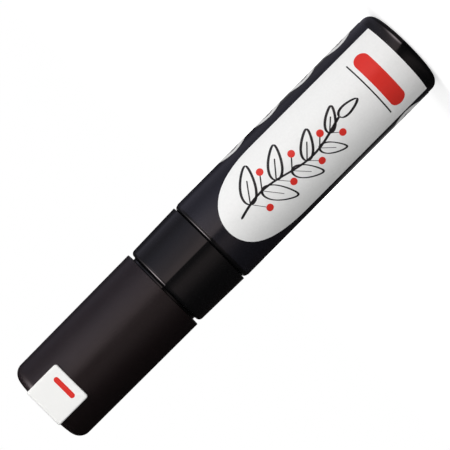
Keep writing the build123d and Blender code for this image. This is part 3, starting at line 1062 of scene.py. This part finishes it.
def tent_light(rise, shares, degrees):
    """Red, green and blue light of the tent's rings, at angles from the lens to +X.

    The wall is warm near the lens and cool at the side. Each patch of light is exp(-((angle - its
    middle) / width) squared). One lies at the marker's foot and one on the ground behind it. A strip on
    the dome shows in rounded edges, and a faint patch above the softbox shows in the satin cap. Those in
    front start at the softbox's edge.
    """

    def patch(angle, middle, width):
        return np.exp(-(((angle - middle) / width) ** 2))[..., None]

    warm, cool = np.array([1.16, 0.95, 0.95]), np.array([1.02, 0.98, 1.24])
    warm_to, cool_from = 10, 70
    tone = warm + (cool - warm) * np.clip((degrees[:, None] - warm_to) / (cool_from - warm_to), 0, 1)
    wall = np.interp(degrees, *zip(*DIM_CARD, *SOFTBOX, *FADE))[:, None] * tone
    softbox_edge = np.array(SOFTBOX)[1:3, 0]
    lit = np.interp(degrees, softbox_edge, [0.0, 1.0])[:, None]
    foot = lit * patch(degrees, *FOOT_ROUND) * FOOT_LIGHT
    behind = patch(np.abs(degrees), *BEHIND_ROUND) * BEHIND_LIGHT
    strip = patch(rise + STRIP_SINK * degrees**2, *STRIP_RISE) * patch(degrees, *STRIP_ROUND) * STRIP_LIGHT
    above = patch(rise, *ABOVE_RISE) * patch(degrees, *ABOVE_ROUND) * ABOVE_LIGHT
    low = sum(shares[:, part, None, None] * light for part, light in enumerate((wall, foot, behind)))
    return low + lit * (strip + above)


def tent_mesh(context):
    """A closed tent round the marker that only gloss sees, as rings of points that hold their light.

    Its ground sheet lies just over the floor. The wall and the roof are one dome, whose rings have the
    radius size * cos rise and the height middle + size * sin rise.
    """
    size, middle, sheet, around = 0.8, 70 * MM, 0.05 * MM, 720
    lowest, highest, rings = 6.0, 89.9, 56
    material = bpy.data.materials.new("studio_tent")
    tree = bare_tree(material)
    light = add(tree, "ShaderNodeAttribute", {"attribute_name": "light"})
    glow = add(tree, "ShaderNodeEmission", {"Color": light.outputs["Color"]})
    add(tree, "ShaderNodeOutputMaterial", {"Surface": glow.outputs[0]})

    ground, rise = np.array(GROUND), np.linspace(lowest, highest, rings)
    dome = np.radians(rise)
    radius = np.concatenate([ground[:, 0] * MM, size * np.cos(dome)])
    height = np.concatenate([np.full(len(ground), sheet), middle + size * np.sin(dome)])
    fading = np.interp(rise, *zip(*RISE_FADE))
    shares = np.concatenate([ground[:, 1:], np.stack([fading, rise * 0, rise * 0], -1)])
    rise = np.concatenate([np.full(len(ground), -90.0), rise])[:, None]

    # Angles are counted from +X and the lens stands at -Y, so a quarter turn goes between them
    from_lens = angles(around) - context.scene.marker_studio.camera_turn
    degrees = (np.degrees(from_lens) + 270) % 360 - 180
    colour = tent_light(rise, shares, degrees)
    opaque = np.concatenate([colour, np.ones((*colour.shape[:2], 1))], 2)
    mesh = skin("tent", turned(radius, height, around))
    mesh.attributes.new("light", "FLOAT_COLOR", "POINT").data.foreach_set("color", opaque.ravel())
    mesh.materials.append(material)
    return mesh


def add_lamp(context, name, degrees, height, width):
    """A square soft lamp that faces the marker and isn't seen in gloss, which sees the tent."""
    angle, reach, aim_height = math.radians(degrees), 0.7, 60 * MM
    data = bpy.data.lights.new(name, "AREA")
    data.shape, data.size, data.energy = "SQUARE", width, context.scene.marker_studio.lamp_power
    lamp = shown(data)
    lamp.location = (reach * math.sin(angle), -reach * math.cos(angle), height)
    aim = Vector((0, 0, aim_height)) - lamp.location
    lamp.rotation_euler = aim.to_track_quat("-Z", "Y").to_euler()
    lamp.visible_glossy = False


def add_camera(context):
    """The lens looks at the aim point, and the picture is turned about that line by the roll."""
    studio = context.scene.marker_studio
    data = bpy.data.cameras.new("camera")
    camera = shown(data)
    out = Vector((math.sin(studio.camera_turn), -math.cos(studio.camera_turn), 0.0))
    lens = out * studio.camera_distance + Vector((0.0, 0.0, studio.camera_height))
    back = (lens - Vector((studio.aim_side, 0.0, studio.aim_height))).normalized()
    level = Vector((0, 0, 1)).cross(back).normalized()
    upright = back.cross(level)
    cosine, sine = math.cos(studio.roll), math.sin(studio.roll)
    right, up = level * cosine - upright * sine, level * sine + upright * cosine
    camera.matrix_world = Matrix.Translation(lens) @ Matrix((right, up, back)).transposed().to_4x4()
    data.sensor_width = 36
    data.lens = data.sensor_width * studio.camera_distance / studio.view_width
    data.clip_start, data.clip_end = 0.01, 20
    context.scene.camera = camera


class MARKER_OT_stage(Operator):
    """Set up the white studio, its soft light and the camera"""

    bl_idname = "marker.stage"
    bl_label = "Stage"

    def execute(self, context):
        set_room(context)
        floor, tent = shown(floor_mesh(context)), shown(tent_mesh(context))
        tent.visible_camera = tent.visible_diffuse = tent.visible_shadow = False
        tent.visible_transmission = tent.visible_volume_scatter = False
        for name, place in LAMPS.items():
            add_lamp(context, name, *place)
        add_camera(context)
        context.scene.view_settings.view_transform = "Standard"
        return {"FINISHED"}


# The sidebar and the script


OPERATORS = (
    MARKER_OT_barrel,
    MARKER_OT_sleeve,
    MARKER_OT_print,
    MARKER_OT_collar,
    MARKER_OT_nib,
    MARKER_OT_cap,
    MARKER_OT_badge,
    MARKER_OT_spring,
    MARKER_OT_valve,
    MARKER_OT_stage,
)
GROUPS = {
    "marker_sizes": MarkerSizes,
    "marker_print": MarkerPrint,
    "marker_colours": MarkerColours,
    "marker_studio": MarkerStudio,
}


class MARKER_PT_pieces(Panel):
    """Lists the pieces of the marker and its stage"""

    bl_idname = "MARKER_PT_pieces"
    bl_label = "Chalk marker"
    bl_space_type = "VIEW_3D"
    bl_region_type = "UI"
    bl_category = "Marker"

    def draw(self, context):
        for operator in OPERATORS:
            self.layout.operator(operator.bl_idname)


def register():
    for part in (*GROUPS.values(), *OPERATORS, MARKER_PT_pieces):
        bpy.utils.register_class(part)
    for name, group in GROUPS.items():
        setattr(bpy.types.Scene, name, PointerProperty(type=group))


def unregister():
    for name in GROUPS:
        delattr(bpy.types.Scene, name)
    for part in (MARKER_PT_pieces, *OPERATORS, *GROUPS.values()):
        bpy.utils.unregister_class(part)


def main():
    """Builds every piece."""
    register()
    bpy.ops.marker.barrel()
    bpy.ops.marker.sleeve()
    bpy.ops.marker.print()
    bpy.ops.marker.collar()
    bpy.ops.marker.nib()
    bpy.ops.marker.cap()
    bpy.ops.marker.badge()
    bpy.ops.marker.spring()
    bpy.ops.marker.valve()
    bpy.ops.marker.stage()


if __name__ == "__main__":
    main()
